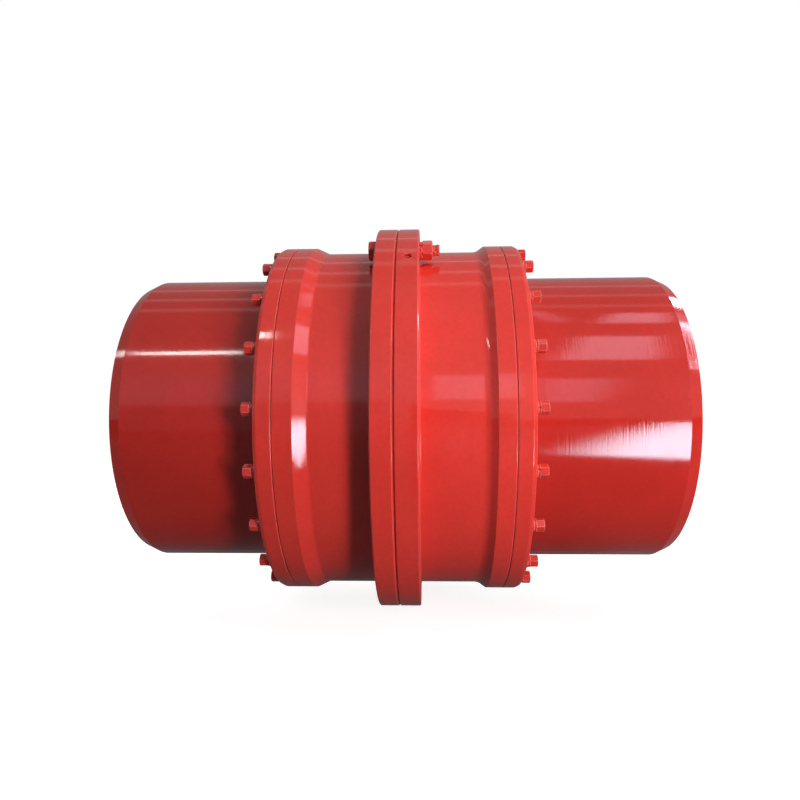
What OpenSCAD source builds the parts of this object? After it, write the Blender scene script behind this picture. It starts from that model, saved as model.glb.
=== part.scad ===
// Gear coupling: two flanged sleeves with internal teeth, bolted together, each carrying one
// hub with crowned external teeth. The axis lies along X, with +Z up. The origin is on the axis,
// half way between the two hub end faces. Sizes are in millimetres.

/* [Hubs] */
// Outside diameter of the plain part of each hub
hub_d = 534; // [500:1:600]
// Diameter of the shaft bore
bore_d = 340; // [200:1:380]
// Distance from the flange joint to the left hub's end face
left_reach = 467.5; // [430:0.5:560]
// Distance from the flange joint to the right hub's end face
right_reach = 484; // [430:0.5:560]
// Distance from the flange joint to each hub's inner end face
hub_gap = 14; // [12:0.5:24]
// Wall of the hub's inner end, outside the bore
inner_end_wall = 85; // [60:1:92]
// Length of the long bevel at the hub's end
hub_bevel_l = 20; // [10:0.5:40]
// Depth of the long bevel at the hub's end
hub_bevel_h = 9; // [4:0.5:20]
// Bevel at both mouths of the shaft bore
bore_bevel = 5; // [2:0.5:10]
// Width of the keyway
keyway_w = 80; // [40:1:100]
// Depth of the keyway from the bore wall
keyway_depth = 15.4; // [8:0.1:20]

/* [Gear teeth] */
// Module of the teeth
gear_module = 8; // [6:0.5:10]
// Pressure angle of the flanks, in degrees
pressure_angle = 20; // [18:0.5:25]
// Least step from the hub's plain part up to the root of its teeth
root_step = 3; // [2:0.5:8]
// Face width of the hub's teeth
hub_face_w = 70; // [50:1:80]
// Face width of the sleeve's teeth
sleeve_face_w = 92; // [88:1:100]
// Distance from the sleeve's outer end to the middle of the mesh
mesh_inset = 70.5; // [66:0.5:80]
// Play between the flanks, over both sides of a tooth
backlash = 1.2; // [0.8:0.1:2]
// Angle by which each flank falls back towards the tooth's ends, in degrees
crown_angle = 1.6; // [1:0.1:2]
// Half-length of the flank that stays parallel to the axis
crown_flat = 10; // [4:0.5:16]

/* [Sleeves] */
// Distance from the flange joint to the sleeve's outer end
sleeve_l = 185.5; // [178:0.5:220]
// Wall of the sleeve's body, outside the oil chamber
sleeve_wall = 24; // [18:0.5:26]
// Thickness of the left flange
left_flange_t = 35; // [28:0.5:45]
// Thickness of the right flange
right_flange_t = 38; // [28:0.5:45]
// Length of the left sleeve's raised end band
left_band_l = 31; // [24:0.5:50]
// Length of the right sleeve's raised end band
right_band_l = 28; // [24:0.5:50]
// Length of the left sleeve's taper up to the band
left_taper_l = 22; // [8:0.5:40]
// Length of the right sleeve's taper up to the band
right_taper_l = 14; // [8:0.5:40]
// Fillet where the left sleeve's body meets its taper
left_taper_fillet = 10; // [4:1:30]
// Fillet where the right sleeve's body meets its taper
right_taper_fillet = 22; // [4:1:30]
// Bevel at the flange rims
flange_bevel = 2; // [1:0.5:4]
// Bevel on both sides of the joint between sleeve and cover
sleeve_end_bevel = 0.8; // [0.5:0.1:2]
// Fillet where the flange meets the body
flange_fillet = 2.5; // [1:0.5:3]
// Length of the spigot that centres the sleeves on each other
spigot_l = 8; // [5:0.5:14]
// Wall of the spigot
spigot_wall = 7; // [5:0.5:10]

/* [End covers] */
// Thickness of the end cover's flange
cover_t = 28; // [24:0.5:36]
// Length of the cover's pilot inside the sleeve
pilot_l = 10; // [6:0.5:14]
// Length of the bevel at the cover's outer rim
cover_bevel_l = 5.5; // [2:0.5:8]
// Depth of the bevel at the cover's outer rim
cover_bevel_h = 2.5; // [1:0.5:5]
// Rim left outside the flat washers
cover_rim = 6.3; // [6:0.1:12]
// Room between the cover's bore and the hub
cover_gap = 3.5; // [3.2:0.1:6]
// Radial height of the rubber hub seal
seal_h = 11; // [8:0.5:14]
// Width of the rubber hub seal
seal_w = 10; // [6:0.5:14]
// Thickness of the cover gaskets and of the flange gasket
gasket_t = 1; // [0.5:0.1:2]

/* [Cover bolts] */
// Number of bolts in each cover
cover_bolt_count = 20; // [12:1:24]
// Angle of the first cover bolt above the horizontal, in degrees
cover_bolt_phase = 4; // [0:0.5:17]
// Diameter of the cover bolts
cover_bolt_d = 12; // [10:0.5:14]
// Width across flats of the cover bolts' heads
cover_head_af = 19; // [17:0.5:21]
// Height of the cover bolts' heads
cover_head_h = 13; // [8:0.5:16]
// Length of the cover bolts in the sleeve
cover_bolt_grip = 20; // [16:0.5:24]
// Wall between the pilot seat and the cover bolts
cover_bolt_wall = 10; // [8:0.5:14]
// Outside diameter of the flat washers under the cover bolts
cover_washer_d = 22; // [20:0.5:25]
// Thickness of the flat washers under the cover bolts
cover_washer_t = 3; // [2:0.5:4]
// Outside diameter of the spring washers under the cover bolts
cover_spring_d = 20; // [18:0.5:22]
// Thickness of the spring washers under the cover bolts
cover_spring_t = 4; // [2:0.5:5]

/* [Flange bolts] */
// Number of bolt holes in the flanges
flange_hole_count = 16; // [12:1:20]
// Angle of the fitted flange bolt above the horizontal, in degrees
flange_bolt_phase = 59.5; // [40:0.5:70]
// Number of flange bolts that are fitted
flange_bolt_count = 2; // [1:1:2]
// Diameter of the flange bolts
flange_bolt_d = 20; // [18:1:24]
// Width across flats of the flange bolts' heads and nuts
flange_af = 30; // [27:1:36]
// Height of the flange bolts' heads
flange_head_h = 13; // [10:0.5:16]
// Turn of the flange bolts' heads from a flat facing the axis, in degrees
flange_head_turn = 30; // [0:5:55]
// Height of the flange nuts
flange_nut_h = 18; // [14:0.5:24]
// Outside diameter of the spring washers under the flange nuts
flange_spring_d = 30; // [28:0.5:32]
// Thickness of the spring washers under the flange nuts
flange_spring_t = 5; // [4:0.5:8]
// Length of the flange bolts that stands out of the nut
flange_bolt_tip = 12; // [8:0.5:20]
// Pitch of the flange bolts' thread
flange_pitch = 2.5; // [2:0.5:3]
// Room between the nut and the sleeve's body
flange_nut_room = 6; // [5:0.5:10]
// Rim left outside the flange nuts
flange_edge = 7; // [4:0.5:12]

/* [Oil plugs] */
// Diameter of the oil plugs
oil_plug_d = 14; // [10:0.5:18]
// Length of the oil plugs
oil_plug_l = 16; // [10:0.5:24]
// Depth of the plug's face below the flange rim
oil_plug_depth = 4; // [1:0.5:8]
// Width across flats of the plug's hexagon socket
oil_socket_af = 7; // [4:0.5:8]

/* [Clearances] */
// Room around each bolt in its hole, on the radius
bolt_room = 0.6; // [0.3:0.1:1.2]
// Room around a bolt or plug in its tapped hole, on the radius
thread_room = 0.3; // [0.2:0.1:0.5]
// Room between turned parts that fit one inside the other
fit_room = 0.3; // [0.2:0.1:0.5]

/* [Hidden] */

// Smoothness of round parts
$fn = 144;
// Extra length of a cutting body past the face that it cuts
over = 2;

// Paint and materials
enamel_red = [0.78, 0.13, 0.11];
gasket_brown = [0.22, 0.13, 0.10];
rubber_black = [0.06, 0.06, 0.06];

// The flange joint lies off the middle where the hubs differ in length
joint_x = (left_reach - right_reach) / 2;
joint_face = gasket_t / 2;

// Gear sizes, on the radius; the tooth depth below the pitch circle is in modules
dedendum = 1.25;
hub_r = hub_d / 2;
tooth_count = ceil((hub_d + 2 * root_step) / gear_module + 2 * dedendum);
pitch_r = gear_module * tooth_count / 2;
hub_root_r = pitch_r - dedendum * gear_module;
hub_tip_r = pitch_r + gear_module;
sleeve_tip_r = pitch_r - gear_module;
sleeve_root_r = pitch_r + dedendum * gear_module;
space_w = PI * gear_module / 2;
tooth_w = space_w - backlash;
mesh_at = sleeve_l - mesh_inset;
hub_teeth_from = mesh_at - hub_face_w / 2;
hub_teeth_to = mesh_at + hub_face_w / 2;
sleeve_teeth_from = mesh_at - sleeve_face_w / 2;
sleeve_teeth_to = mesh_at + sleeve_face_w / 2;
root_sink = 2;

// Hub sizes
bore_r = bore_d / 2;
inner_end_r = bore_r + inner_end_wall;
inner_end_bevel = 4;

// Sleeve sizes, on the radius, from the inside out
chamber_step = 3;
seat_step = 1;
chamber_r = sleeve_root_r + chamber_step;
seat_r = chamber_r + seat_step;
body_r = chamber_r + sleeve_wall;
cover_circle_r = seat_r + cover_bolt_wall + cover_bolt_d / 2;
band_r = cover_circle_r + cover_washer_d / 2 + cover_rim;
flange_circle_r = body_r + flange_nut_room + flange_af / 2;
flange_r = flange_circle_r + flange_af / 2 + flange_edge;
spigot_r = chamber_r + spigot_wall;
tap_runout = 5;
tapped_depth = cover_bolt_grip + tap_runout;
spigot_end_room = 1;

// Small bevel on edges that only ease assembly
lead_in = 1;

// Cover sizes
cover_mouth_bevel = 2;
cover_in = sleeve_l + gasket_t;
cover_out = cover_in + cover_t;
cover_bore_r = hub_r + cover_gap;
seal_in_r = hub_r + fit_room;
seal_out_r = seal_in_r + seal_h;
seal_mid = cover_in + cover_t / 2;
cover_step = 360 / cover_bolt_count;

// Flange bolt sizes
flange_step = 360 / flange_hole_count;
flange_hole_d = flange_bolt_d + 2 * bolt_room;
oil_hole_d = oil_plug_d + 2 * thread_room;
oil_at = joint_face + right_flange_t / 2;
oil_phase = flange_bolt_phase - flange_step / 2;
oil_count = 2;
flange_head_seat = -joint_face - left_flange_t;
flange_nut_seat = joint_face + right_flange_t + flange_spring_t;
flange_nut_end = flange_nut_seat + flange_nut_h;
flange_thread_depth = 1.5;

// Hexagon heads and nuts: share of the width across flats left by the bevel, its angle,
// and the length by which a shank runs into its head
hexagon_rim = 0.96;
hexagon_bevel_angle = 30;
shank_overlap = 1;

// Split in each spring washer
split_w = 2.5;
split_slant = 25;
// Turn from one bolt head to the next, as they happen to stop when tightened
head_turn = 37;

// Moves a shape made for the right side to the flange joint, and mirrors it for the left side
module on_side(side) {
    translate([joint_x, 0, 0])
        mirror([side < 0 ? 1 : 0, 0, 0])
            children();
}

// Turns a profile of [radius, distance from the joint] about the axis
module revolve(profile) {
    rotate([0, 90, 0])
        rotate_extrude()
            polygon(profile);
}

// Round bar along the axis
module rod(d, from, to) {
    translate([from, 0, 0])
        rotate([0, 90, 0])
            cylinder(d = d, h = to - from);
}

// Places a shape at a radius, at an angle above the horizontal on the -Y side
module at_angle(angle, radius) {
    rotate([-angle, 0, 0])
        translate([0, -radius, 0])
            children();
}

// Hexagon prism along the axis, with two flats facing the coupling's axis
module hexagon(af, from, to) {
    translate([from, 0, 0])
        rotate([0, 90, 0])
            cylinder(d = af / cos(30), h = to - from, $fn = 6);
}

// Bevelled body that trims a hexagon's corners at its free end, and at its seat where seat_bevel is 1
module hexagon_trim(af, from, to, seat_bevel) {
    corner_r = af / cos(30) / 2 + over;
    rim_r = af / 2 * hexagon_rim;
    fall = (corner_r - rim_r) * tan(hexagon_bevel_angle);
    revolve([
        [0, from],
        [seat_bevel ? rim_r : corner_r, from],
        [corner_r, from + (seat_bevel ? fall : fall / 2)],
        [corner_r, to - fall],
        [rim_r, to],
        [0, to]
    ]);
}

// Split ring of square section along the axis
module spring_washer(outer_d, inner_d, from, thickness, turn) {
    rotate([turn, 0, 0])
        difference() {
            rod(outer_d, from, from + thickness);
            rod(inner_d, from - over, from + thickness + over);
            translate([from + thickness / 2, -(outer_d + inner_d) / 4, 0])
                rotate([0, split_slant, 0])
                    cube([2 * thickness, outer_d - inner_d, split_w], center = true);
        }
}

// Half-width of a tooth, or of the space for it, at a radius
function half_width(w, r) = w / 2 + (pitch_r - r) * tan(pressure_angle);

// One straight-sided prism of a hub tooth, widened by extra on each flank
module tooth_prism(extra) {
    foot = hub_root_r - root_sink;
    head = hub_tip_r + over;
    linear_extrude(height = hub_face_w + 2 * over, center = true)
        polygon([
            [foot, -half_width(tooth_w, foot) - extra],
            [head, -half_width(tooth_w, head) - extra],
            [head, half_width(tooth_w, head) + extra],
            [foot, half_width(tooth_w, foot) + extra]
        ]);
}

// Hub tooth whose flanks fall back from a flat middle towards both ends
module crowned_tooth() {
    relief = crown_flat * tan(crown_angle);
    intersection_for (lean = [-1, 0, 1])
        rotate([lean * crown_angle, 0, 0])
            tooth_prism(abs(lean) * relief);
}

// Ring of hub teeth, with tips on a sphere about the middle of the mesh
module hub_teeth() {
    ring_in_r = hub_root_r - 2 * root_sink;
    ring_out_r = hub_tip_r + over;
    intersection() {
        translate([mesh_at, 0, 0])
            rotate([0, 90, 0])
                for (i = [0 : tooth_count - 1])
                    rotate([0, 0, 360 * i / tooth_count])
                        crowned_tooth();
        translate([mesh_at, 0, 0])
            sphere(r = hub_tip_r);
        revolve([
            [ring_in_r, hub_teeth_from],
            [ring_out_r, hub_teeth_from],
            [ring_out_r, hub_teeth_to],
            [ring_in_r, hub_teeth_to]
        ]);
    }
}

// Hub: bored cylinder with a ring of crowned teeth near its inner end
module hub(reach) {
    difference() {
        union() {
            revolve([
                [bore_r, hub_gap + bore_bevel],
                [bore_r + bore_bevel, hub_gap],
                [inner_end_r - inner_end_bevel, hub_gap],
                [inner_end_r, hub_gap + inner_end_bevel],
                [inner_end_r, hub_teeth_from],
                [hub_root_r, hub_teeth_from],
                [hub_root_r, hub_teeth_to],
                [hub_r, hub_teeth_to],
                [hub_r, reach - hub_bevel_l],
                [hub_r - hub_bevel_h, reach],
                [bore_r + bore_bevel, reach],
                [bore_r, reach - bore_bevel]
            ]);
            hub_teeth();
        }
        translate([hub_gap - over, -keyway_w / 2, 0])
            cube([reach - hub_gap + 2 * over, keyway_w, bore_r + keyway_depth]);
    }
}

// Cavity that leaves the sleeve's internal teeth standing
module sleeve_tooth_cavity() {
    outline = [
        for (i = [0 : tooth_count - 1])
            for (corner = [[sleeve_tip_r, -1], [sleeve_root_r, -1], [sleeve_root_r, 1], [sleeve_tip_r, 1]])
                let (
                    r = corner[0],
                    turn = 360 * i / tooth_count + corner[1] * asin(half_width(space_w, r) / r)
                )
                    [r * cos(turn), r * sin(turn)]
    ];
    translate([sleeve_teeth_from - over / 2, 0, 0])
        rotate([0, 90, 0])
            linear_extrude(height = sleeve_face_w + over)
                polygon(outline);
}

// Sleeve: flange, body, taper and end band outside; oil chamber, teeth and pilot seat inside
module sleeve(flange_t, band_l, taper_l, taper_fillet, has_spigot) {
    face = joint_face;
    back = joint_face + flange_t;
    band_from = sleeve_l - band_l;
    fillet_steps = 4;
    fillet = [
        for (i = [0 : fillet_steps])
            let (t = 90 * i / fillet_steps)
                [
                    body_r + flange_fillet * (1 - sin(t)),
                    back + flange_fillet * (1 - cos(t))
                ]
    ];
    taper_from = band_from - taper_l;
    taper_angle = atan((band_r - body_r) / taper_l);
    taper_steps = 12;
    taper_start = [
        for (i = [0 : taper_steps])
            let (t = taper_angle * i / taper_steps)
                [
                    body_r + taper_fillet * (1 - cos(t)),
                    taper_from + taper_fillet * (sin(t) - tan(taper_angle / 2))
                ]
    ];
    recess_l = spigot_l + spigot_end_room + gasket_t;
    inner_start = has_spigot
        ? [[chamber_r, face - gasket_t - spigot_l], [spigot_r - lead_in, face - gasket_t - spigot_l],
           [spigot_r, face - gasket_t - spigot_l + lead_in], [spigot_r, face]]
        : [[chamber_r, face + recess_l], [spigot_r + fit_room, face + recess_l], [spigot_r + fit_room, face]];
    difference() {
        revolve(concat(
            inner_start,
            [
                [flange_r - flange_bevel, face],
                [flange_r, face + flange_bevel],
                [flange_r, back - flange_bevel],
                [flange_r - flange_bevel, back]
            ],
            fillet,
            taper_start,
            [
                [band_r, band_from],
                [band_r, sleeve_l - sleeve_end_bevel],
                [band_r - sleeve_end_bevel, sleeve_l],
                [seat_r, sleeve_l],
                [seat_r, sleeve_teeth_to],
                [sleeve_tip_r - over, sleeve_teeth_to],
                [sleeve_tip_r - over, sleeve_teeth_from],
                [chamber_r, sleeve_teeth_from]
            ]
        ));
        sleeve_tooth_cavity();
        for (i = [0 : cover_bolt_count - 1])
            at_angle(cover_bolt_phase + i * cover_step, cover_circle_r)
                rod(cover_bolt_d + 2 * thread_room, sleeve_l - tapped_depth, sleeve_l + over);
        for (i = [0 : flange_hole_count - 1])
            at_angle(flange_bolt_phase + i * flange_step, flange_circle_r)
                rod(flange_hole_d, face - over, back + over);
    }
}

// Radial hole from the flange rim into the oil chamber
module oil_hole() {
    translate([oil_at, 0, 0])
        rotate([90, 0, 0])
            translate([0, 0, chamber_r - over])
                cylinder(d = oil_hole_d, h = flange_r - chamber_r + 2 * over);
}

// Ring plate that holds the hub in the sleeve, with a pilot and a groove for the hub seal
module end_cover() {
    groove_half = seal_w / 2 + fit_room;
    groove_r = seal_out_r + fit_room;
    pilot_r = seat_r - fit_room;
    difference() {
        revolve([
            [cover_bore_r, sleeve_l - pilot_l],
            [pilot_r - lead_in, sleeve_l - pilot_l],
            [pilot_r, sleeve_l - pilot_l + lead_in],
            [pilot_r, cover_in],
            [band_r - sleeve_end_bevel, cover_in],
            [band_r, cover_in + sleeve_end_bevel],
            [band_r, cover_out - cover_bevel_l],
            [band_r - cover_bevel_h, cover_out],
            [cover_bore_r + cover_mouth_bevel, cover_out],
            [cover_bore_r, cover_out - cover_mouth_bevel],
            [cover_bore_r, seal_mid + groove_half],
            [groove_r, seal_mid + groove_half],
            [groove_r, seal_mid - groove_half],
            [cover_bore_r, seal_mid - groove_half]
        ]);
        for (i = [0 : cover_bolt_count - 1])
            at_angle(cover_bolt_phase + i * cover_step, cover_circle_r)
                rod(cover_bolt_d + 2 * bolt_room, cover_in - over, cover_out + over);
    }
}

// Flat ring between a sleeve and its end cover
module cover_gasket() {
    difference() {
        revolve([
            [seat_r + fit_room, sleeve_l],
            [band_r - sleeve_end_bevel, sleeve_l],
            [band_r - sleeve_end_bevel, cover_in],
            [seat_r + fit_room, cover_in]
        ]);
        for (i = [0 : cover_bolt_count - 1])
            at_angle(cover_bolt_phase + i * cover_step, cover_circle_r)
                rod(cover_bolt_d + 2 * bolt_room, sleeve_l - over, cover_in + over);
    }
}

// Rubber ring in the cover's groove, close round the hub
module hub_seal() {
    half = seal_w / 2;
    revolve([
        [seal_in_r, seal_mid - half + lead_in],
        [seal_in_r + lead_in, seal_mid - half],
        [seal_out_r, seal_mid - half],
        [seal_out_r, seal_mid + half],
        [seal_in_r + lead_in, seal_mid + half],
        [seal_in_r, seal_mid + half - lead_in]
    ]);
}

// Flat washers, spring washers and bolts of one end cover
module flat_washers() {
    for (i = [0 : cover_bolt_count - 1])
        at_angle(cover_bolt_phase + i * cover_step, cover_circle_r)
            difference() {
                rod(cover_washer_d, cover_out, cover_out + cover_washer_t);
                rod(cover_bolt_d + 2 * bolt_room, cover_out - over, cover_out + cover_washer_t + over);
            }
}

module spring_washers() {
    for (i = [0 : cover_bolt_count - 1])
        at_angle(cover_bolt_phase + i * cover_step, cover_circle_r)
            spring_washer(
                cover_spring_d,
                cover_bolt_d + 2 * bolt_room,
                cover_out + cover_washer_t,
                cover_spring_t,
                i * 2 * head_turn
            );
}

module cover_bolts() {
    seat = cover_out + cover_washer_t + cover_spring_t;
    for (i = [0 : cover_bolt_count - 1])
        at_angle(cover_bolt_phase + i * cover_step, cover_circle_r)
            rotate([i * head_turn, 0, 0]) {
                rod(cover_bolt_d, sleeve_l - cover_bolt_grip, seat + shank_overlap);
                intersection() {
                    hexagon(cover_head_af, seat, seat + cover_head_h);
                    hexagon_trim(cover_head_af, seat, seat + cover_head_h, 0);
                }
            }
}

// Places a shape at each fitted flange bolt
module at_flange_bolts() {
    for (i = [0 : flange_bolt_count - 1])
        at_angle(flange_bolt_phase + i * 180, flange_circle_r)
            children();
}

module left_hub() {
    color(enamel_red) on_side(-1) hub(left_reach);
}

module right_hub() {
    color(enamel_red) on_side(1) hub(right_reach);
}

module left_sleeve() {
    color(enamel_red) on_side(-1) sleeve(left_flange_t, left_band_l, left_taper_l, left_taper_fillet, true);
}

module right_sleeve() {
    color(enamel_red)
        on_side(1)
            difference() {
                sleeve(right_flange_t, right_band_l, right_taper_l, right_taper_fillet, false);
                for (i = [0 : oil_count - 1])
                    rotate([-oil_phase - i * 180, 0, 0])
                        oil_hole();
            }
}

module left_end_cover() {
    color(enamel_red) on_side(-1) end_cover();
}

module right_end_cover() {
    color(enamel_red) on_side(1) end_cover();
}

module left_cover_gasket() {
    color(gasket_brown) on_side(-1) cover_gasket();
}

module right_cover_gasket() {
    color(gasket_brown) on_side(1) cover_gasket();
}

module left_hub_seal() {
    color(rubber_black) on_side(-1) hub_seal();
}

module right_hub_seal() {
    color(rubber_black) on_side(1) hub_seal();
}

module left_cover_bolts() {
    color(enamel_red) on_side(-1) cover_bolts();
}

module right_cover_bolts() {
    color(enamel_red) on_side(1) cover_bolts();
}

module left_spring_washers() {
    color(enamel_red) on_side(-1) spring_washers();
}

module right_spring_washers() {
    color(enamel_red) on_side(1) spring_washers();
}

module left_flat_washers() {
    color(enamel_red) on_side(-1) flat_washers();
}

module right_flat_washers() {
    color(enamel_red) on_side(1) flat_washers();
}

// Flat ring between the two flanges, outside the spigot
module flange_gasket() {
    color(gasket_brown)
        on_side(1)
            difference() {
                revolve([
                    [spigot_r + fit_room, -joint_face],
                    [flange_r - flange_bevel, -joint_face],
                    [flange_r - flange_bevel, joint_face],
                    [spigot_r + fit_room, joint_face]
                ]);
                for (i = [0 : flange_hole_count - 1])
                    at_angle(flange_bolt_phase + i * flange_step, flange_circle_r)
                        rod(flange_hole_d, -joint_face - over, joint_face + over);
            }
}

// Bolts through both flanges, with their heads on the left and a ringed thread past the nut
module flange_bolts() {
    tip = flange_nut_end + flange_bolt_tip;
    shank_r = flange_bolt_d / 2;
    core_r = shank_r - flange_thread_depth;
    ridge_count = floor(flange_bolt_tip / flange_pitch) - 1;
    thread = [
        for (i = [0 : ridge_count - 1])
            for (ridge = [[shank_r, 0], [core_r, flange_pitch / 2]])
                [ridge[0], flange_nut_end + i * flange_pitch + ridge[1]]
    ];
    thread_end = flange_nut_end + ridge_count * flange_pitch;
    color(enamel_red)
        on_side(1)
            at_flange_bolts() {
                revolve(concat(
                    [
                        [0, flange_head_seat - shank_overlap],
                        [shank_r, flange_head_seat - shank_overlap]
                    ],
                    thread,
                    [
                        [shank_r, thread_end],
                        [shank_r, tip - flange_thread_depth],
                        [core_r, tip],
                        [0, tip]
                    ]
                ));
                mirror([1, 0, 0])
                    rotate([flange_head_turn, 0, 0])
                        intersection() {
                            hexagon(flange_af, -flange_head_seat, flange_head_h - flange_head_seat);
                            hexagon_trim(flange_af, -flange_head_seat, flange_head_h - flange_head_seat, 0);
                        }
            }
}

module flange_nuts() {
    color(enamel_red)
        on_side(1)
            at_flange_bolts()
                difference() {
                    intersection() {
                        hexagon(flange_af, flange_nut_seat, flange_nut_end);
                        hexagon_trim(flange_af, flange_nut_seat, flange_nut_end, 1);
                    }
                    rod(flange_bolt_d + 2 * thread_room, flange_nut_seat - over, flange_nut_end + over);
                }
}

module flange_spring_washers() {
    color(enamel_red)
        on_side(1)
            at_flange_bolts()
                spring_washer(
                    flange_spring_d,
                    flange_hole_d,
                    flange_nut_seat - flange_spring_t,
                    flange_spring_t,
                    head_turn
                );
}

// Headless plugs, sunk in the right flange's rim, with a hexagon socket outside
module oil_plugs() {
    face_r = flange_r - oil_plug_depth;
    socket_depth = oil_plug_l / 2;
    plug_r = oil_plug_d / 2;
    color(enamel_red)
        on_side(1)
            for (i = [0 : oil_count - 1])
                rotate([-oil_phase - i * 180, 0, 0])
                    translate([oil_at, 0, 0])
                        rotate([90, 0, 0])
                            difference() {
                                rotate_extrude()
                                    polygon([
                                        [0, face_r - oil_plug_l],
                                        [plug_r, face_r - oil_plug_l],
                                        [plug_r, face_r - lead_in],
                                        [plug_r - lead_in, face_r],
                                        [0, face_r]
                                    ]);
                                translate([0, 0, face_r - socket_depth])
                                    cylinder(d = oil_socket_af / cos(30), h = socket_depth + over, $fn = 6);
                            }
}

left_hub();
right_hub();
left_sleeve();
right_sleeve();
left_end_cover();
right_end_cover();
left_cover_gasket();
right_cover_gasket();
left_hub_seal();
right_hub_seal();
left_cover_bolts();
right_cover_bolts();
left_spring_washers();
right_spring_washers();
left_flat_washers();
right_flat_washers();
flange_gasket();
flange_bolts();
flange_nuts();
flange_spring_washers();
oil_plugs();
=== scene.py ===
import math

import bpy
from mathutils import Matrix, Vector


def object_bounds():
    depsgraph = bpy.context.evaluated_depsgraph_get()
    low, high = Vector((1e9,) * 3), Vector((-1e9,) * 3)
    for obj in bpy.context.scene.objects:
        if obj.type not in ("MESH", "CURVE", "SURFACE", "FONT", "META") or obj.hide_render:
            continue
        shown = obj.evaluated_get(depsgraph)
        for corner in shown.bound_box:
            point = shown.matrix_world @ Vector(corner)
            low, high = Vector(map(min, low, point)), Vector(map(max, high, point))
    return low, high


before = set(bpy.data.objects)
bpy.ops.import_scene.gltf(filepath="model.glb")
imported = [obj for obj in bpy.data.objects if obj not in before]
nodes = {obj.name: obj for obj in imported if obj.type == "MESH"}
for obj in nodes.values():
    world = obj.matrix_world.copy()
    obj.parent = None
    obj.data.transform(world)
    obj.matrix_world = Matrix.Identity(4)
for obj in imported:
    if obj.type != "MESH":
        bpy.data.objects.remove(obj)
cad_box = [list(corner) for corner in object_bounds()]
scene = bpy.context.scene

# Lengths are in metres, in the row frame: X along the shafts, Z up, the photographed side towards -Y.
JOINT_X = -0.00825
FLOOR_Z = -0.36
FLOOR_HALF = 40.0
LEFT_END = cad_box[0][0]

# The camera looks level from the front, a little right of the middle. Angles are in radians.
EYE = Vector((0.03856, -1.3127, 0.04131))
YAW, PITCH, ROLL = 0.0376, -0.0068, 0.0053
LENS_MM, SENSOR_MM = 29.671, 36.0

# Paint colours.
RED = (0.70, 0.038, 0.027)
RED_DEEP = (0.64, 0.033, 0.023)
HUB_RED = (0.50, 0.019, 0.012)
HUB_DEEP = (0.45, 0.016, 0.010)
BOLT_RED = (0.66, 0.036, 0.026)
BOLT_DEEP = (0.58, 0.029, 0.020)
# A lighter red for sharp edges: a thinner coat there, and a painted highlight.
THIN_COAT_AND_HIGHLIGHT = (0.95, 0.30, 0.25)
CHIP = (0.09, 0.012, 0.010)
SPECK_SHADE = 0.72

# Bare steel, from its grooves to its ridges, and the oil on it.
STEEL_DARK = (0.40, 0.39, 0.37)
STEEL_LIGHT = (0.55, 0.54, 0.52)
STEEL_OIL = (0.26, 0.22, 0.17)

# Gasket sheet with stains, and seal rubber with a bloom.
FIBRE_DARK = (0.20, 0.011, 0.008)
FIBRE_LIGHT = (0.26, 0.014, 0.010)
FIBRE_STAIN = (0.10, 0.010, 0.008)
RUBBER_BLACK = (0.012, 0.012, 0.012)
RUBBER_BLOOM = (0.035, 0.033, 0.031)

# No paint lies inside these radii.
HUB_BORE_BARE = 0.1752
SLEEVE_BARE = 0.2952
COVER_BARE = 0.2690
# The hub is bare outside this radius, where its teeth are, and within this distance of the flange joint.
HUB_TEETH_BARE = 0.2685
HUB_INNER_BARE = 0.185

# Noise scales are in features per metre, and turning marks are close along X and long across it.
CLOUD_SCALE = 7.0
SPECK_SCALE = 130.0
PEEL_SCALE = 190.0
GRIT_SCALE = 260.0
MARK_SCALE = (380.0, 5.0, 5.0)
FIBRE_SCALE = 420.0
STAIN_SCALE = 14.0
GRAIN_SCALE = 500.0
BLOOM_SCALE = 22.0

# Roughness of the enamel, from its gloss to its turning marks, and what patches and axial faces add to it.
GLOSS, MARKED = 0.05, 0.13
CLOUDY, AXIAL = 0.03, 0.42

# Relief of the enamel: bump strengths, and depths and edge radii in metres.
PEEL_STRENGTH, PEEL_DEPTH = 0.05, 0.0005
MARK_DEPTH = 0.0004
EDGE_RADIUS = 0.0010
BOLT_EDGE_RADIUS = 0.0014
HUB_GROOVE, SMOOTH_GROOVE = 0.22, 0.03

# Light and room.
WHITE = (1.0, 1.0, 1.0)
WARM = (1.0, 0.93, 0.88)
COOL = (0.92, 0.84, 1.0)
SKY = (0.60, 0.84, 1.0)
FLOOR_SEEN, FLOOR_LIT = (0.55, 0.55, 0.55), (0.13, 0.13, 0.13)
FLOOR_IN_GLOSS = 0.08
FILL_STRENGTH = 0.06
ROOM_DIM, ROOM_BRIGHT = 0.32, 0.62
ROOM_BRIGHT_SIDE = (0.35, -0.80, -0.40)


def opaque(colour):
    return (*colour, 1.0)


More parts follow.
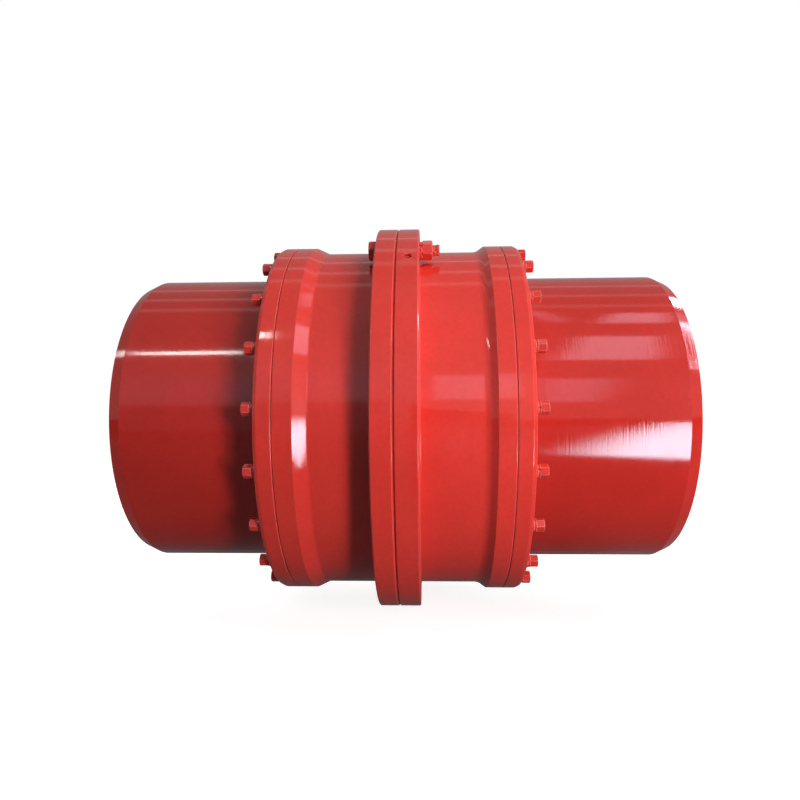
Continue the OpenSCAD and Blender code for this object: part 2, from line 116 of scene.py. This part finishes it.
class Graph:
    """A small helper that adds and links shader nodes."""

    def __init__(self, tree):
        self.tree = tree
        tree.nodes.clear()

    def add(self, kind, **settings):
        node = self.tree.nodes.new(kind)
        for name, value in settings.items():
            setattr(node, name, value)
        return node

    def link(self, output, socket):
        self.tree.links.new(output, socket)

    def feed(self, socket, value):
        if isinstance(value, bpy.types.NodeSocket):
            self.link(value, socket)
        else:
            socket.default_value = value

    def math(self, operation, a, b=None):
        node = self.add("ShaderNodeMath", operation=operation)
        self.feed(node.inputs[0], a)
        if b is not None:
            self.feed(node.inputs[1], b)
        return node.outputs[0]

    def dot(self, a, b):
        node = self.add("ShaderNodeVectorMath", operation="DOT_PRODUCT")
        self.feed(node.inputs[0], a)
        self.feed(node.inputs[1], b)
        return node.outputs["Value"]

    def split(self, vector):
        node = self.add("ShaderNodeSeparateXYZ")
        self.link(vector, node.inputs[0])
        return node.outputs

    def mix(self, factor, a, b):
        node = self.add("ShaderNodeMix", data_type="RGBA")
        self.feed(node.inputs["Factor"], factor)
        self.feed(node.inputs[6], a)
        self.feed(node.inputs[7], b)
        return node.outputs[2]

    def blend(self, factor, a, b):
        node = self.add("ShaderNodeMix", data_type="FLOAT")
        self.feed(node.inputs["Factor"], factor)
        self.feed(node.inputs[2], a)
        self.feed(node.inputs[3], b)
        return node.outputs[0]

    def mix_shader(self, factor, a, b):
        node = self.add("ShaderNodeMixShader")
        self.link(factor, node.inputs[0])
        self.link(a, node.inputs[1])
        self.link(b, node.inputs[2])
        return node.outputs[0]

    def steps(self, value, low, high, to_low=0.0, to_high=1.0):
        node = self.add("ShaderNodeMapRange", interpolation_type="SMOOTHSTEP")
        self.feed(node.inputs["Value"], value)
        for name, number in (("From Min", low), ("From Max", high), ("To Min", to_low), ("To Max", to_high)):
            self.feed(node.inputs[name], number)
        return node.outputs["Result"]

    def position(self):
        return self.add("ShaderNodeTexCoord").outputs["Object"]

    def scaled(self, vector, scale, offset=(0.0, 0.0, 0.0)):
        node = self.add("ShaderNodeMapping")
        self.link(vector, node.inputs["Vector"])
        node.inputs["Scale"].default_value = scale
        node.inputs["Location"].default_value = offset
        return node.outputs["Vector"]

    def moved(self, vector, offset):
        return self.scaled(vector, (1.0, 1.0, 1.0), offset)

    def noise(self, vector, scale, detail=3.0, roughness=0.55):
        node = self.add("ShaderNodeTexNoise")
        self.link(vector, node.inputs["Vector"])
        node.inputs["Scale"].default_value = scale
        node.inputs["Detail"].default_value = detail
        node.inputs["Roughness"].default_value = roughness
        return node.outputs["Fac"]

    def bump(self, height, strength, distance, normal=None):
        node = self.add("ShaderNodeBump")
        node.inputs["Strength"].default_value = strength
        node.inputs["Distance"].default_value = distance
        self.link(height, node.inputs["Height"])
        if normal is not None:
            self.link(normal, node.inputs["Normal"])
        return node.outputs["Normal"]

    def output(self, kind, shader):
        self.link(shader, self.add(kind).inputs["Surface"])

    def surface(self, colour, roughness, normal, metallic=0.0, **fixed):
        shader = self.add("ShaderNodeBsdfPrincipled")
        self.feed(shader.inputs["Base Color"], colour)
        self.feed(shader.inputs["Roughness"], roughness)
        self.feed(shader.inputs["Metallic"], metallic)
        self.link(normal, shader.inputs["Normal"])
        for name, value in fixed.items():
            shader.inputs[name].default_value = value
        self.output("ShaderNodeOutputMaterial", shader.outputs["BSDF"])


def material(name):
    made = bpy.data.materials.new(name)
    made.use_nodes = True
    return made, Graph(made.node_tree)


def bare_part(g, place, below, above, within):
    """1 where a piece isn't painted: below or above a radius, or within a distance of the flange joint."""
    x, y, z = g.split(place)
    radius = g.math("SQRT", g.math("ADD", g.math("MULTIPLY", y, y), g.math("MULTIPLY", z, z)))
    bare = g.math("LESS_THAN", radius, below)
    if above:
        bare = g.math("MAXIMUM", bare, g.math("GREATER_THAN", radius, above))
    if within:
        from_joint = g.math("ABSOLUTE", g.math("SUBTRACT", x, JOINT_X))
        bare = g.math("MAXIMUM", bare, g.math("LESS_THAN", from_joint, within))
    return bare


def enamel(name, bright, deep, edge, thin_coat_and_highlight, groove, bare_below=None, bare_above=None, bare_within=None):
    """Red enamel sprayed over a turned surface, round at its edges with a painted highlight along them, and
    oiled steel where it is bare.
    """
    made, g = material(name)
    place = g.position()
    cloud = g.noise(g.moved(place, (3.1, 0.7, 1.9)), CLOUD_SCALE, 4.0)
    speck = g.noise(place, SPECK_SCALE)
    speck_colour = [SPECK_SHADE * channel for channel in deep]
    colour = g.mix(g.steps(cloud, 0.3, 0.7), opaque(bright), opaque(deep))
    colour = g.mix(g.steps(speck, 0.35, 0.75, 0.0, 0.22), colour, opaque(speck_colour))
    # Sparse chips and grit caught in the coat.
    grit = g.noise(g.moved(place, (0.4, 8.3, 2.2)), GRIT_SCALE, 1.0)
    colour = g.mix(g.steps(grit, 0.80, 0.84, 0.0, 0.7), colour, opaque(CHIP))

    marks = g.noise(g.scaled(place, MARK_SCALE), 1.0, 2.0, 0.6)
    rough = g.blend(g.steps(marks, 0.35, 0.72), GLOSS, MARKED)
    rough = g.math("ADD", rough, g.steps(cloud, 0.45, 0.8, 0.0, CLOUDY))
    # Faces turned along the axis carry a duller coat than the turned outsides.
    facing = g.add("ShaderNodeNewGeometry").outputs["Normal"]
    along_axis = g.math("ABSOLUTE", g.split(facing)[0])
    rough = g.math("ADD", rough, g.steps(along_axis, 0.95, 0.99, 0.0, AXIAL))

    # Sharp edges are painted lighter: partly a thinner coat there, partly a painted highlight where the edges
    # would catch the light.
    bevel = g.add("ShaderNodeBevel", samples=6)
    bevel.inputs["Radius"].default_value = edge
    rounded = bevel.outputs[0]
    colour = g.mix(g.steps(g.dot(rounded, facing), 0.995, 0.93, 0.0, thin_coat_and_highlight), colour, opaque(THIN_COAT_AND_HIGHLIGHT))
    peel = g.noise(place, PEEL_SCALE, 2.0)
    normal = g.bump(peel, PEEL_STRENGTH, PEEL_DEPTH, rounded)
    normal = g.bump(marks, groove, MARK_DEPTH, normal)

    metallic = 0.0
    if bare_below:
        metallic = bare_part(g, place, bare_below, bare_above, bare_within)
        steel = g.mix(g.steps(marks, 0.3, 0.7), opaque(STEEL_DARK), opaque(STEEL_LIGHT))
        steel = g.mix(g.steps(cloud, 0.5, 0.8, 0.0, 0.5), steel, opaque(STEEL_OIL))
        colour = g.mix(metallic, colour, steel)
        rough = g.blend(metallic, rough, g.steps(marks, 0.3, 0.7, 0.28, 0.42))
    g.surface(colour, rough, normal, metallic)
    return made


def gasket():
    """Fibre sheet; only its rim shows, under the red spray."""
    made, g = material("fibre_gasket")
    place = g.position()
    fibre = g.noise(g.moved(place, (5.0, 2.0, 1.0)), FIBRE_SCALE)
    stain = g.noise(place, STAIN_SCALE)
    colour = g.mix(g.steps(fibre, 0.3, 0.7), opaque(FIBRE_DARK), opaque(FIBRE_LIGHT))
    colour = g.mix(g.steps(stain, 0.45, 0.75, 0.0, 0.6), colour, opaque(FIBRE_STAIN))
    rough = g.steps(fibre, 0.2, 0.8, 0.6, 0.85)
    g.surface(colour, rough, g.bump(fibre, 0.3, 0.0003), **{"Specular IOR Level": 0.1})
    return made


def rubber():
    """Black seal rubber with a grey bloom."""
    made, g = material("black_rubber")
    place = g.position()
    grain = g.noise(place, GRAIN_SCALE, 2.0)
    bloom = g.noise(place, BLOOM_SCALE, 4.0)
    colour = g.mix(g.steps(bloom, 0.4, 0.75), opaque(RUBBER_BLACK), opaque(RUBBER_BLOOM))
    g.surface(colour, g.steps(grain, 0.2, 0.8, 0.42, 0.62), g.bump(grain, 0.15, 0.0002))
    return made


hub_paint = enamel(
    "hub_enamel", HUB_RED, HUB_DEEP, edge=EDGE_RADIUS, thin_coat_and_highlight=0.3, groove=HUB_GROOVE,
    bare_below=HUB_BORE_BARE, bare_above=HUB_TEETH_BARE, bare_within=HUB_INNER_BARE,
)
sleeve_paint = enamel(
    "sleeve_enamel", RED, RED_DEEP, edge=EDGE_RADIUS, thin_coat_and_highlight=0.5, groove=SMOOTH_GROOVE,
    bare_below=SLEEVE_BARE,
)
cover_paint = enamel(
    "cover_enamel", RED, RED_DEEP, edge=EDGE_RADIUS, thin_coat_and_highlight=0.5, groove=SMOOTH_GROOVE,
    bare_below=COVER_BARE,
)
bolt_paint = enamel(
    "fastener_enamel", BOLT_RED, BOLT_DEEP, edge=BOLT_EDGE_RADIUS, thin_coat_and_highlight=0.8, groove=SMOOTH_GROOVE,
)
gasket_fibre = gasket()
seal_rubber = rubber()


def finish_of(name):
    if name.endswith("gasket"):
        return gasket_fibre
    if name.endswith("seal"):
        return seal_rubber
    if name.endswith("_hub"):
        return hub_paint
    if name.endswith("_sleeve"):
        return sleeve_paint
    if name.endswith("_cover"):
        return cover_paint
    return bolt_paint


for name, node in nodes.items():
    node.data.materials.clear()
    node.data.materials.append(finish_of(name))


def place_camera():
    data = bpy.data.cameras.new("camera")
    data.sensor_width = SENSOR_MM
    data.lens = LENS_MM
    camera = bpy.data.objects.new("camera", data)
    scene.collection.objects.link(camera)
    aim = Matrix.Rotation(YAW, 4, "Z") @ Matrix.Rotation(math.pi / 2 + PITCH, 4, "X")
    camera.matrix_world = Matrix.Translation(EYE) @ aim @ Matrix.Rotation(-ROLL, 4, "Z")
    scene.camera = camera


def lay_floor():
    """A wide pale sheet that turns to plain white away from the coupling."""
    mesh = bpy.data.meshes.new("floor")
    outline = [(-1, -1), (1, -1), (1, 1), (-1, 1)]
    mesh.from_pydata([(FLOOR_HALF * x, FLOOR_HALF * y, FLOOR_Z) for x, y in outline], [], [(0, 1, 2, 3)])
    floor = bpy.data.objects.new("floor", mesh)
    scene.collection.objects.link(floor)

    look, g = material("floor")
    rays = g.add("ShaderNodeLightPath")
    seen = g.math("MAXIMUM", rays.outputs["Is Camera Ray"], rays.outputs["Is Transmission Ray"])
    shown = g.math("MAXIMUM", seen, g.math("MULTIPLY", rays.outputs["Is Glossy Ray"], FLOOR_IN_GLOSS))
    away = g.add("ShaderNodeVectorMath", operation="LENGTH")
    g.link(g.position(), away.inputs[0])
    white_away = g.steps(away.outputs["Value"], 0.5, 1.3, 0.84, 1.0)
    diffuse = g.add("ShaderNodeBsdfDiffuse")
    g.link(g.mix(seen, opaque(FLOOR_LIT), opaque(FLOOR_SEEN)), diffuse.inputs["Color"])
    glow = g.add("ShaderNodeEmission")
    g.link(g.math("MULTIPLY", shown, white_away), glow.inputs["Strength"])
    both = g.add("ShaderNodeAddShader")
    g.link(diffuse.outputs[0], both.inputs[0])
    g.link(glow.outputs[0], both.inputs[1])
    g.output("ShaderNodeOutputMaterial", both.outputs[0])
    mesh.materials.append(look)


def background(g, strength):
    node = g.add("ShaderNodeBackground")
    node.inputs["Color"].default_value = opaque(WHITE)
    g.feed(node.inputs["Strength"], strength)
    return node.outputs[0]


def paint_world():
    """White behind the coupling, a dimmer room in its reflections, and a little even fill on it."""
    world = bpy.data.worlds.new("studio")
    world.use_nodes = True
    scene.world = world
    g = Graph(world.node_tree)
    rays = g.add("ShaderNodeLightPath")
    across = g.dot(g.add("ShaderNodeTexCoord").outputs["Generated"], ROOM_BRIGHT_SIDE)
    room = background(g, g.steps(across, -0.8, 0.7, ROOM_DIM, ROOM_BRIGHT))
    unseen = g.mix_shader(rays.outputs["Is Glossy Ray"], background(g, FILL_STRENGTH), room)
    seen = g.math("MAXIMUM", rays.outputs["Is Camera Ray"], rays.outputs["Is Transmission Ray"])
    g.output("ShaderNodeOutputWorld", g.mix_shader(seen, unseen, background(g, 1.0)))


def lamp(name, azimuth, elevation, distance, size, power):
    """A soft square lamp for the matte shading. Azimuth 0 is the camera's side, and 90 is the right."""
    turn = math.radians(azimuth)
    lift = math.radians(elevation)
    level = Vector((math.sin(turn), -math.cos(turn), 0.0))
    place = distance * (math.cos(lift) * level + Vector((0.0, 0.0, math.sin(lift))))
    data = bpy.data.lights.new(name, "AREA")
    data.shape = "SQUARE"
    data.size = size
    data.energy = power
    made = bpy.data.objects.new(name, data)
    scene.collection.objects.link(made)
    made.matrix_world = Matrix.Translation(place) @ place.to_track_quat("Z", "Y").to_matrix().to_4x4()
    made.visible_camera = False
    made.visible_glossy = False


place_camera()
lay_floor()
paint_world()
lamp("low", 31, -11.8, distance=1.32, size=0.16, power=4.2)
lamp("front_high", 34, 18, distance=3.5, size=1.0, power=21.0)
lamp("key", 38, 3, distance=3.5, size=1.0, power=58.0)
lamp("right_high", 57, 52, distance=3.5, size=1.0, power=30.0)
lamp("right", 90, 45, distance=3.5, size=1.0, power=26.0)
lamp("top", 0, 72, distance=3.5, size=1.0, power=18.0)
lamp("left", -75, 45, distance=3.5, size=1.0, power=5.0)
lamp("left_low", -92, -4, distance=2.4, size=0.6, power=34.0)
lamp("back", 192, 28, distance=2.2, size=1.2, power=24.0)

# Shares of a card's width or height over which its left, right, top and bottom edges fade away.
SOFT_EDGES = (0.06, 0.06, 0.06, 0.06)
HARD_EDGES = (0.02, 0.02, 0.02, 0.02)
# How far from the coupling the mirrored cards stand.
MIRROR_DISTANCE = 1.6


def card(name, corners, radiance, colour, fade=SOFT_EDGES):
    """A panel that shows only as a reflection. Corners run top left, top right, bottom right, bottom left."""
    mesh = bpy.data.meshes.new(name)
    mesh.from_pydata(corners, [], [(0, 1, 2, 3)])
    layer = mesh.uv_layers.new(name="panel")
    for index, uv in enumerate(((0.0, 1.0), (1.0, 1.0), (1.0, 0.0), (0.0, 0.0))):
        layer.data[index].uv = uv
    made = bpy.data.objects.new(name, mesh)
    scene.collection.objects.link(made)
    made.visible_camera = False
    made.visible_diffuse = False
    made.visible_shadow = False

    look, g = material(name)
    u, v = g.split(g.add("ShaderNodeTexCoord").outputs["UV"])[:2]
    left, right, top, bottom = fade
    level_u = g.math("MULTIPLY", g.steps(u, 0.0, left), g.steps(u, 1.0 - right, 1.0, 1.0, 0.0))
    level_v = g.math("MULTIPLY", g.steps(v, 0.0, bottom), g.steps(v, 1.0 - top, 1.0, 1.0, 0.0))
    glow = g.add("ShaderNodeEmission")
    glow.inputs["Color"].default_value = opaque(colour)
    glow.inputs["Strength"].default_value = radiance
    clear = g.add("ShaderNodeBsdfTransparent").outputs[0]
    faded = g.mix_shader(g.math("MULTIPLY", level_u, level_v), clear, glow.outputs[0])
    g.output("ShaderNodeOutputMaterial", faded)
    mesh.materials.append(look)


def upright_card(name, left, right, top, bottom, radiance, colour, fade):
    """A card that stands over the line from left to right, which are places (x, y) on the floor plan."""
    corners = [(*left, top), (*right, top), (*right, bottom), (*left, bottom)]
    card(name, corners, radiance, colour, fade)


def level_card(name, outline, height, radiance, colour, fade):
    """A card that lies level over an outline of places (x, y) on the floor plan."""
    card(name, [(x, y, height) for x, y in outline], radiance, colour, fade)


def bounce(drum, x, z):
    """Where the camera sees the height z at x on a drum's near side, and which way its gaze leaves there."""
    known_radius, known_x, growth = drum
    radius = known_radius + growth * (x - known_x)
    place = Vector((x, -math.sqrt(radius * radius - z * z), z))
    normal = Vector((-growth, place.y / radius, z / radius)).normalized()
    return place, (place - EYE).reflect(normal).normalized()


def mirrored_card(name, drum, spots, radiance, colour, fade=SOFT_EDGES):
    """A card that stands square in the gaze off a drum, with its corners mirrored at the spots (x, z)."""
    bounces = [bounce(drum, x, z) for x, z in spots]
    gaze = sum((ray for place, ray in bounces), Vector()).normalized()
    middle = sum((place for place, ray in bounces), Vector()) / len(bounces) + MIRROR_DISTANCE * gaze
    corners = [place + ray * ((middle - place).dot(gaze) / ray.dot(gaze)) for place, ray in bounces]
    card(name, corners, radiance, colour, fade)


# The drums that mirror the room: a radius, the X at which it is measured, and its growth along X.
HUB_RADIUS = 0.267
BEVEL_DEPTH, BEVEL_LENGTH = 0.009, 0.020
BEVEL_GROWTH = BEVEL_DEPTH / BEVEL_LENGTH
HUB = (HUB_RADIUS, 0.0, 0.0)
LEFT_BEVEL = (HUB_RADIUS - BEVEL_DEPTH, LEFT_END, BEVEL_GROWTH)
RIGHT_BEVEL = (HUB_RADIUS - BEVEL_DEPTH, -LEFT_END, -BEVEL_GROWTH)
COVER_RADIUS = 0.3273
BODY_RADIUS = 0.317
CONE_START_X, CONE_LENGTH = -0.1635, 0.022
COVER = (COVER_RADIUS, 0.0, 0.0)
BODY = (BODY_RADIUS, 0.0, 0.0)
LEFT_CONE = (COVER_RADIUS, CONE_START_X, (BODY_RADIUS - COVER_RADIUS) / CONE_LENGTH)

# A lamp strip, mirrored in the left hub, its bevel and the left cover.
strip_spots = [(-0.444, 0.115), (-0.254, 0.116), (-0.254, 0.111), (-0.444, 0.110)]
block_spots = [(-0.222, 0.141), (-0.199, 0.141), (-0.198, 0.131), (-0.221, 0.131)]
end_spots = [(-0.476, 0.116), (-0.457, 0.119), (-0.452, 0.109), (-0.473, 0.106)]
mirrored_card("strip", HUB, strip_spots, 26.0, WARM)
mirrored_card("strip_block", COVER, block_spots, 26.0, WARM)
mirrored_card("strip_end", LEFT_BEVEL, end_spots, 22.0, WARM)

# Window panes, mirrored in the right hub and its bevel, the left cone and the right sleeve's body.
high_spots = [(0.341, 0.178), (0.443, 0.177), (0.444, 0.157), (0.309, 0.158)]
mid_spots = [(0.275, 0.138), (0.429, 0.137), (0.425, 0.095), (0.231, 0.096)]
low_spots = [(0.215, 0.069), (0.369, 0.068), (0.329, 0.028), (0.214, 0.028)]
near_spots = [(0.450, 0.160), (0.475, 0.162), (0.477, 0.080), (0.454, 0.079)]
far_spots = [(0.448, 0.208), (0.473, 0.207), (0.476, 0.187), (0.452, 0.185)]
back_spots = [(-0.164, 0.208), (-0.139, 0.210), (-0.139, 0.183), (-0.163, 0.181)]
front_spots = [(0.047, 0.074), (0.189, 0.073), (0.188, 0.033), (0.046, 0.033)]
mirrored_card("pane_high", HUB, high_spots, 3.2, COOL, fade=(0.2, 0.1, 0.1, 0.1))
mirrored_card("pane_mid", HUB, mid_spots, 3.8, COOL, fade=(0.2, 0.2, 0.1, 0.06))
mirrored_card("pane_low", HUB, low_spots, 2.2, COOL, fade=(0.1, 0.3, 0.1, 0.1))
mirrored_card("window_near", RIGHT_BEVEL, near_spots, 16.0, COOL)
mirrored_card("window_far", RIGHT_BEVEL, far_spots, 16.0, COOL)
mirrored_card("pane_back", LEFT_CONE, back_spots, 2.0, COOL)
mirrored_card("pane_front", BODY, front_spots, 2.2, COOL, fade=(0.1, 0.1, 0.1, 0.1))

# Walls in front at the left, and a tall window at the right whose foot stands further out than its head.
WALL_LEFT, WALL_RIGHT = -2.2, 0.2
WALL_Y, LOW_WALL_Y = -2.3, -2.35
JUST_OVER_FLOOR = FLOOR_Z + 0.005
upright_card(
    "front_wall", (WALL_LEFT, WALL_Y), (WALL_RIGHT, WALL_Y), 1.75, 0.35,
    0.80, COOL, (0.3, 0.2, 0.5, 0.25),
)
upright_card(
    "low_wall", (WALL_LEFT, LOW_WALL_Y), (WALL_RIGHT, LOW_WALL_Y), 0.55, JUST_OVER_FLOOR,
    0.30, COOL, (0.3, 0.2, 0.25, 0.02),
)
window_head = [(1.73, -0.37, 1.77), (1.68, 0.55, 1.77)]
window_foot = [(2.37, 0.77, -0.22), (2.44, -0.52, -0.22)]
card("side_window", window_head + window_foot, 1.3, COOL, (0.2, 0.2, 0.2, 0.2))

# Sunlight on the floor at the right, which makes the wedge low on the right hub.
sunlit = [(2.46, -6.0), (2.95, -6.0), (0.77, -0.63), (0.28, -0.80)]
level_card("sunlit_floor", sunlit, JUST_OVER_FLOOR, 24.0, SKY, (0.55, 0.05, 0.02, 0.022))

# A bright pane for the patch on the left cone, with a dark back so that the right half doesn't mirror it.
PANE_LEFT, PANE_RIGHT = Vector((0.02, -0.50)), Vector((0.22, -0.822))
PANE_TOP, PANE_BOTTOM = 0.03, -0.22
BACK_GAP = Vector((0.003, 0.002))
BACK_MARGIN = 0.02
margin = BACK_MARGIN * (PANE_RIGHT - PANE_LEFT).normalized()
upright_card("low_pane", PANE_LEFT, PANE_RIGHT, PANE_TOP, PANE_BOTTOM, 24.0, SKY, (0.1, 0.1, 0.25, 0.06))
upright_card(
    "low_pane_back", PANE_LEFT - margin + BACK_GAP, PANE_RIGHT + margin + BACK_GAP,
    PANE_TOP + BACK_MARGIN, PANE_BOTTOM - BACK_MARGIN, 0.0, SKY, HARD_EDGES,
)

# Lights in rows along the ceiling, which streak the tops of the drums.
CEILING_Z, ROW_HALF, ROW_WIDTH = 3.0, 4.0, 0.3
for row, near_y in enumerate((0.1, 0.9, 2.1)):
    far_y = near_y + ROW_WIDTH
    outline = [(-ROW_HALF, far_y), (ROW_HALF, far_y), (ROW_HALF, near_y), (-ROW_HALF, near_y)]
    level_card(f"ceiling_row_{row}", outline, CEILING_Z, 0.85, WARM, (0.1, 0.1, 0.4, 0.4))

scene.view_settings.view_transform = "Standard"
